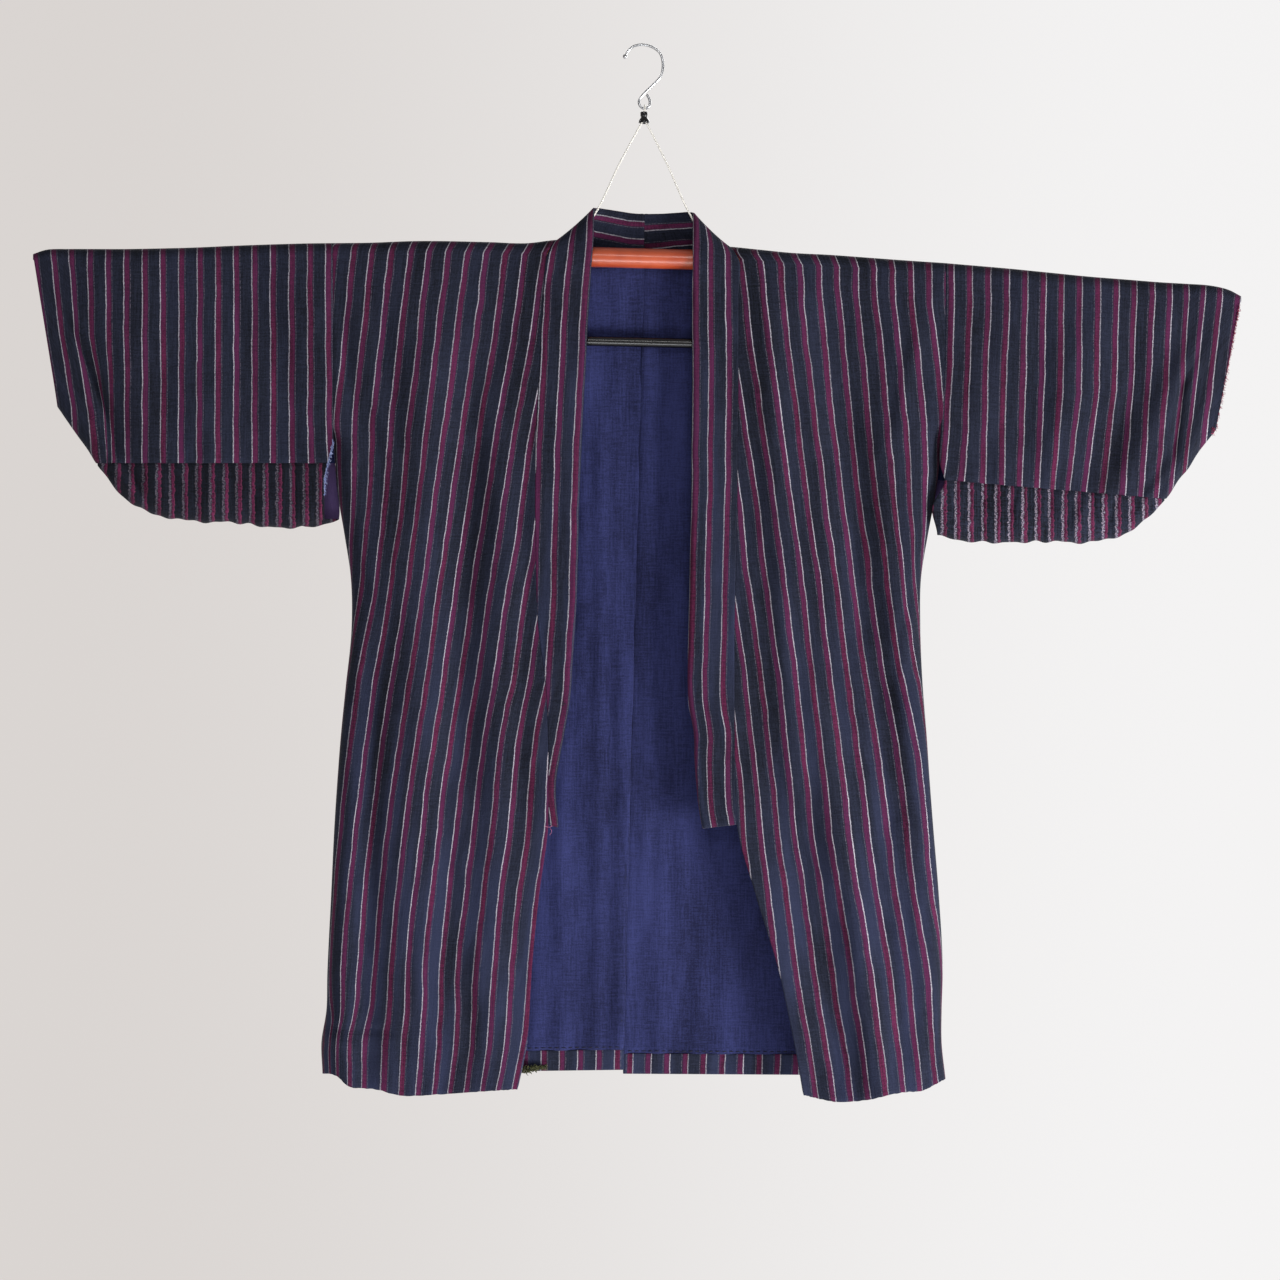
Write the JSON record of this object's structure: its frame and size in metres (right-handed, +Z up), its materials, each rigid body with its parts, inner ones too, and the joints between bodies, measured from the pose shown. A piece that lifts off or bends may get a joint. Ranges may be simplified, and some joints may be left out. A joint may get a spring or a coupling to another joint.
{
  "type": "noragi jacket on kimono hanger",
  "caption": "Open-fronted striped cotton work jacket with wide curved sleeves, hanging flat from a long tube hanger with a hook.",
  "frame": {"origin": "inside top of the hanger's hook, where it hangs on a rail or ring", "axes": "+Z up, the jacket's open front faces -Y, the sleeves run along X with the wearer's right sleeve at -X"},
  "size_m": [1.2439, 0.0467, 1.0874],
  "materials": {
    "striped_cotton": "hand-woven matte cotton, navy-black ground with maroon, white and grey warp stripes",
    "patch_cotton": "matte cotton with a closer stripe of dark red, pale grey and navy",
    "indigo_lining": "plain-woven matte indigo cotton",
    "tube_lacquer": "satin red-brown",
    "black_plastic": "satin black",
    "steel_wire": "bright drawn wire",
    "white_cord": "thin white cord"
  },
  "bodies": {
    "root": {"body_right": "striped_cotton", "sleeve_right": "striped_cotton", "sleeve_patch_right": "patch_cotton", "collar_right": "striped_cotton", "lining_right": "indigo_lining", "hem_turn_up_right": "striped_cotton", "hanger_arm_right": "tube_lacquer", "hanger_link_right": "steel_wire", "body_left": "striped_cotton", "sleeve_left": "striped_cotton", "sleeve_patch_left": "patch_cotton", "collar_left": "striped_cotton", "lining_left": "indigo_lining", "hem_turn_up_left": "striped_cotton", "hanger_arm_left": "tube_lacquer", "hanger_link_left": "steel_wire", "hanger_tube": "tube_lacquer", "hanger_rod": "black_plastic", "hanger_hook": "steel_wire", "hanger_toggle": "black_plastic", "hanger_cord": "white_cord"}
  },
  "joints": []
}
